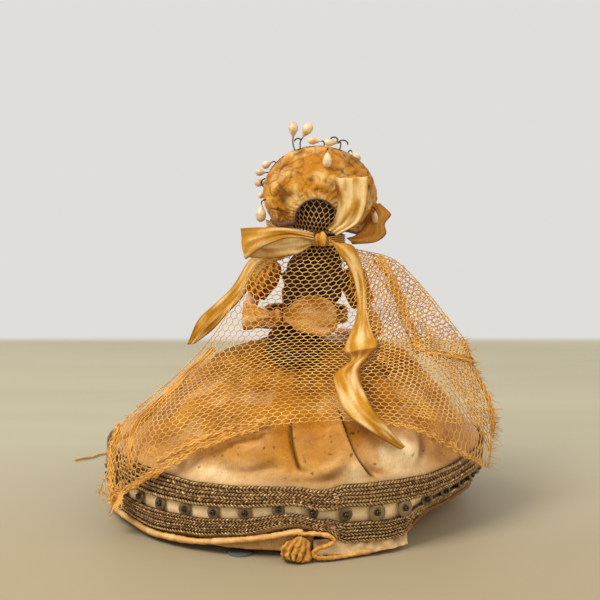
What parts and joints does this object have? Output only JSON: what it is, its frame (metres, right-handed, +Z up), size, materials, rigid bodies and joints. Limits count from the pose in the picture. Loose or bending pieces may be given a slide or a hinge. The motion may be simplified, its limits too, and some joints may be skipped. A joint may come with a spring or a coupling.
{
  "type": "dressed half-doll pin cushion",
  "caption": "Round stuffed satin pin cushion that forms the skirt of a small doll in a silk bonnet and net veil, with metal braid round its rim.",
  "frame": {"origin": "centre of the flat underside, on the surface that the cushion stands on", "axes": "+Z is up through the doll; the doll faces +Y, so its back and the bow at its nape are towards -Y; +X is the doll's right, seen from its back"},
  "size_m": [0.1605, 0.1419, 0.1372],
  "materials": {
    "gold_satin": "aged silk satin",
    "amber_silk": "crumpled soft silk",
    "satin_ribbon": "creased satin ribbon",
    "silk_net": "open hexagonal silk net",
    "tarnished_braid": "braid of tarnished metal thread",
    "spangle": "aged translucent gelatin",
    "dark_bead": "glossy seed bead",
    "wax": "soft moulded wax",
    "wire": "thin wire wound in brown thread",
    "bisque": "unglazed tinted bisque",
    "hair": "combed dark mohair",
    "card": "grey-brown pasteboard",
    "cotton": "plain cotton cloth",
    "stuffing": "packed sawdust and bran",
    "peg_wood": "whittled softwood",
    "white_paper": "matt white paper"
  },
  "bodies": {
    "root": {"base_lining": "cotton", "base_card": "card", "white_pad": "white_paper", "stuffing": "stuffing", "muslin_case": "cotton", "skirt_satin": "gold_satin", "hem_roll": "gold_satin", "hem_tuft": "gold_satin", "lower_braid": "tarnished_braid", "upper_braid": "tarnished_braid", "spangle_row": "spangle", "bead_row": "dark_bead", "waist_peg": "peg_wood", "torso": "bisque", "head": "bisque", "arm_wire": "wire", "bodice": "amber_silk", "wig_cap": "hair", "hair_fall": "hair", "sash_band": "amber_silk", "sash_knot": "amber_silk", "sash_loop_left": "amber_silk", "sash_loop_right": "amber_silk", "bonnet_crown": "amber_silk", "bonnet_brim": "amber_silk", "brim_wire": "wire", "bonnet_ruffle_left": "gold_satin", "bonnet_leaf_right": "amber_silk", "veil_back": "silk_net", "veil_wing_right": "silk_net", "veil_hood": "silk_net", "neck_ribbon": "satin_ribbon", "ribbon_knot": "satin_ribbon", "ribbon_loop_left": "satin_ribbon", "ribbon_loop_right": "satin_ribbon", "ribbon_tail_left": "satin_ribbon", "ribbon_tail_right": "satin_ribbon", "picot_string": "silk_net", "wax_bud_01": "wax", "wax_bud_02": "wax", "wax_bud_03": "wax", "wax_bud_04": "wax", "wax_bud_05": "wax", "wax_bud_06": "wax", "wax_bud_07": "wax", "wax_bud_08": "wax", "wax_bud_09": "wax", "wax_bud_10": "wax", "wax_bud_11": "wax", "bonnet_bead": "wax"},
    "left_arm_group": {"left_arm": "bisque", "left_sleeve": "amber_silk"},
    "right_arm_group": {"right_arm": "bisque", "right_sleeve": "amber_silk"}
  },
  "joints": [
    {"name": "right_shoulder", "type": "hinge", "parent": "root", "child": "right_arm_group", "pos_m": [0.02042, 0, 0.08044], "axis": [0.9954, 0, -0.0958], "range_deg": [0, 65]},
    {"name": "left_shoulder", "type": "hinge", "parent": "root", "child": "left_arm_group", "pos_m": [-0.00944, 0, 0.08332], "axis": [0.9954, 0, -0.0958], "range_deg": [0, 65]}
  ]
}
